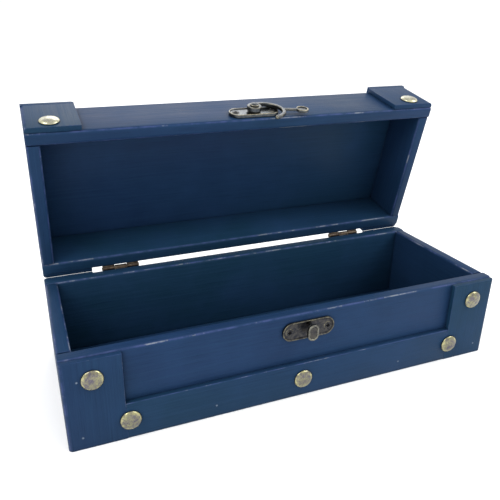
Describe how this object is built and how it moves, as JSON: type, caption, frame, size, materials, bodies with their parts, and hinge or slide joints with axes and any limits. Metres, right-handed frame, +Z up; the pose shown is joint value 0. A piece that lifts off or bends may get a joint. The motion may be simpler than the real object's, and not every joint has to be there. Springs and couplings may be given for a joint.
{
  "type": "wooden chest",
  "caption": "Long painted wooden chest, open, with a hinged hollow lid, raised end bands with domed nails, and a swing-hook latch on its front.",
  "frame": {"origin": "middle of the chest's underside, without the front and back bands", "axes": "+X right along the chest's length, seen from its front; +Y from the front to the back; +Z up"},
  "size_m": [0.35, 0.1841, 0.2092],
  "materials": {
    "navy_paint": "satin navy paint over wood, brushed, worn at its edges",
    "nail_brass": "pale antique brass, slightly pitted",
    "latch_bronze": "dark antique bronze, rubbed bright at its edges",
    "hinge_bronze": "brown antique bronze",
    "pin_steel": "dull steel, some of it painted over"
  },
  "bodies": {
    "base": {"base_floor": "navy_paint", "base_front_wall": "navy_paint", "base_rear_wall": "navy_paint", "base_left_wall": "navy_paint", "base_right_wall": "navy_paint", "base_front_band_left": "navy_paint", "base_front_band_right": "navy_paint", "base_front_bottom_strip": "navy_paint", "base_rear_band_left": "navy_paint", "base_rear_band_right": "navy_paint", "base_front_nails": "nail_brass", "base_band_pins": "pin_steel", "hinge_left_base_leaf": "hinge_bronze", "hinge_right_base_leaf": "hinge_bronze", "hinge_left_pin": "hinge_bronze", "hinge_right_pin": "hinge_bronze", "hinge_base_screws": "hinge_bronze", "catch_plate": "latch_bronze", "catch_post": "latch_bronze", "catch_plate_screws": "latch_bronze"},
    "lid": {"lid_top_panel": "navy_paint", "lid_front_wall": "navy_paint", "lid_rear_wall": "navy_paint", "lid_left_wall": "navy_paint", "lid_right_wall": "navy_paint", "lid_front_band_left": "navy_paint", "lid_front_band_right": "navy_paint", "lid_top_band_left": "navy_paint", "lid_top_band_right": "navy_paint", "lid_rear_band_left": "navy_paint", "lid_rear_band_right": "navy_paint", "lid_front_nails": "nail_brass", "hinge_left_lid_leaf": "hinge_bronze", "hinge_right_lid_leaf": "hinge_bronze", "hinge_lid_screws": "hinge_bronze", "hook_plate": "latch_bronze", "hook_plate_screws": "latch_bronze", "hook_pivot_rivet": "latch_bronze"},
    "hook": {"swing_hook": "latch_bronze"}
  },
  "joints": [
    {"name": "lid_hinge", "type": "hinge", "parent": "base", "child": "lid", "pos_m": [0, 0.0652, 0.0702], "axis": [1, 0, 0], "range_deg": [0, 76.92]},
    {"name": "hook_pivot", "type": "hinge", "parent": "lid", "child": "hook", "pos_m": [0.0037, 0.04653, 0.19696], "axis": [0, -0.2263, 0.9741], "range_deg": [-79.7, 180]}
  ]
}
